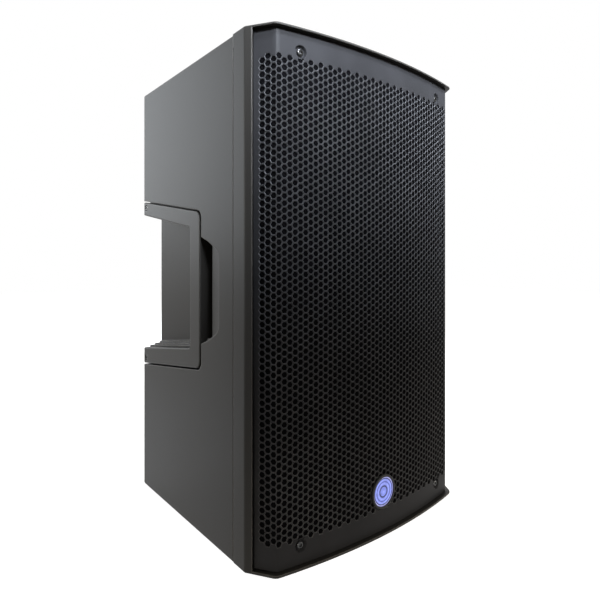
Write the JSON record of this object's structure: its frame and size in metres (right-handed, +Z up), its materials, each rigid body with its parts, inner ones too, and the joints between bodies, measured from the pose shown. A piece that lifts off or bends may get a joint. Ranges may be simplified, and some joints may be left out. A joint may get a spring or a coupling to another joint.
{
  "type": "loudspeaker cabinet",
  "caption": "Active two-way loudspeaker cabinet with bowed perforated front, side carry handles, pole socket and rear amplifier module.",
  "frame": {"origin": "on the floor, under the middle of the cabinet's box", "axes": "+Z up, -Y towards the listener, +X to the right as the listener sees the front"},
  "size_m": [0.368, 0.3459, 0.62],
  "materials": {
    "shell_plastic": "fine leather-grain texture, satin black",
    "handle_plastic": "fine texture, satin black",
    "grille_steel": "powder-coated, fine grain black",
    "foam": "open-cell acoustic foam, black",
    "screw_steel": "black zinc",
    "badge_plastic": "gloss black",
    "badge_light": "blue-lit diffuser",
    "circuit_board": "green solder mask",
    "cast_frame": "black-painted casting",
    "gasket": "cork-rubber",
    "surround_cloth": "doped cloth",
    "spider_cloth": "phenolic cloth",
    "cone_paper": "pressed paper, black",
    "coil_former": "copper winding on former",
    "ferrite": "sintered ferrite",
    "motor_steel": "zinc-plated",
    "horn_plastic": "moulded black",
    "port_plastic": "moulded black",
    "panel_metal": "fine-texture black",
    "heat_sink": "black anodised extrusion",
    "connector_plastic": "moulded black",
    "knob_plastic": "moulded black",
    "rocker_plastic": "gloss red-brown",
    "display_glass": "smoked window",
    "chassis_steel": "galvanised sheet",
    "socket_metal": "die-cast",
    "foot_rubber": "moulded rubber",
    "wadding": "polyester wadding",
    "latch_plastic": "grey tab"
  },
  "bodies": {
    "cabinet": {"rear_shell": "shell_plastic", "front_baffle": "shell_plastic", "grille": "grille_steel", "grille_foam": "foam", "grille_screws": "screw_steel", "badge_housing": "badge_plastic", "badge_lens": "badge_light", "badge_led_board": "circuit_board", "woofer_basket": "cast_frame", "woofer_gasket": "gasket", "woofer_surround": "surround_cloth", "woofer_spider": "spider_cloth", "woofer_top_plate": "motor_steel", "woofer_magnet": "ferrite", "woofer_back_plate": "motor_steel", "woofer_screws": "screw_steel", "horn": "horn_plastic", "horn_screws": "screw_steel", "compression_driver": "cast_frame", "compression_driver_cap": "ferrite", "port_tube_left": "port_plastic", "port_tube_right": "port_plastic", "amp_panel": "panel_metal", "amp_panel_screws": "screw_steel", "heat_sink": "heat_sink", "combo_jack_1": "connector_plastic", "combo_jack_2": "connector_plastic", "link_output": "connector_plastic", "potentiometers": "motor_steel", "display_window": "display_glass", "mains_inlet": "connector_plastic", "rocker_frame": "connector_plastic", "amp_chassis": "chassis_steel", "power_supply_board": "circuit_board", "amplifier_board": "circuit_board", "pole_socket": "socket_metal", "pole_socket_screws": "screw_steel", "rubber_feet": "foot_rubber", "shell_screws": "screw_steel", "handle_bracket_left": "handle_plastic", "handle_bracket_right": "handle_plastic", "handle_screws": "screw_steel", "damping_lining": "wadding"},
    "cone_assembly": {"woofer_cone": "cone_paper", "woofer_dust_cap": "cone_paper", "woofer_voice_coil": "coil_former"},
    "volume_1": {"volume_knob_1": "knob_plastic"},
    "volume_2": {"volume_knob_2": "knob_plastic"},
    "encoder": {"encoder_knob": "knob_plastic"},
    "power_switch": {"power_rocker": "rocker_plastic"},
    "latch_1": {"latch_tab_1": "latch_plastic"},
    "latch_2": {"latch_tab_2": "latch_plastic"}
  },
  "joints": [
    {"name": "woofer_stroke", "type": "slide", "parent": "cabinet", "child": "cone_assembly", "axis": [0, -1, 0], "range_m": [-0.006, 0.006], "stiffness_N_per_m": 3000},
    {"name": "volume_1_turn", "type": "hinge", "parent": "cabinet", "child": "volume_1", "pos_m": [0.082, 0.158, 0.292], "axis": [0, -1, 0], "range_deg": [-150, 150]},
    {"name": "volume_2_turn", "type": "hinge", "parent": "cabinet", "child": "volume_2", "pos_m": [0.042, 0.158, 0.292], "axis": [0, -1, 0], "range_deg": [-150, 150]},
    {"name": "encoder_turn", "type": "hinge", "parent": "cabinet", "child": "encoder", "pos_m": [-0.062, 0.158, 0.292], "axis": [0, -1, 0], "continuous": true},
    {"name": "power_rock", "type": "hinge", "parent": "cabinet", "child": "power_switch", "pos_m": [0.02, 0.158, 0.208], "axis": [1, 0, 0], "range_deg": [-18, 0]},
    {"name": "latch_1_press", "type": "slide", "parent": "cabinet", "child": "latch_1", "axis": [0, -1, 0], "range_m": [0, 0.0012], "stiffness_N_per_m": 600},
    {"name": "latch_2_press", "type": "slide", "parent": "cabinet", "child": "latch_2", "axis": [0, -1, 0], "range_m": [0, 0.0012], "stiffness_N_per_m": 600}
  ]
}
